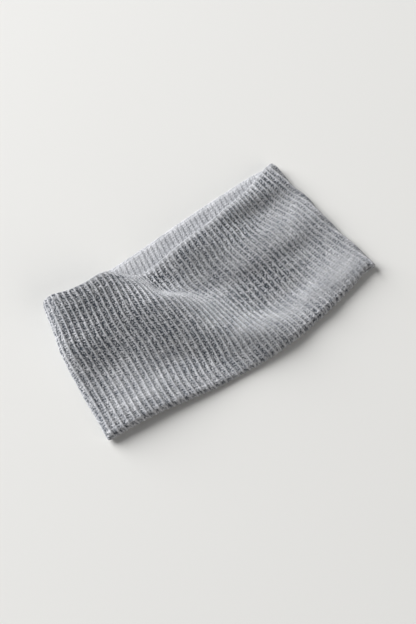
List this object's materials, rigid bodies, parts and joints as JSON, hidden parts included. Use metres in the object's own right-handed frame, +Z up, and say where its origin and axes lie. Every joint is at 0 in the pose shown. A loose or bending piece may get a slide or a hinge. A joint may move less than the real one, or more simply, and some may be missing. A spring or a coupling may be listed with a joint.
{
  "type": "ribbed headband",
  "caption": "Wide rib-knit headband lying flattened in two layers, with a diagonal tuck in the upper layer and an open back edge.",
  "frame": {"origin": "on the resting surface, under the middle of the band's box", "axes": "+X along the flattened band, +Y across its width towards the open back edge, +Z up from the surface"},
  "size_m": [0.2568, 0.1408, 0.0271],
  "materials": {
    "heather_grey_knit": "heathered rib knit, matte with a soft nap"
  },
  "bodies": {
    "root": {"rib_knit_band": "heather_grey_knit"}
  },
  "joints": []
}
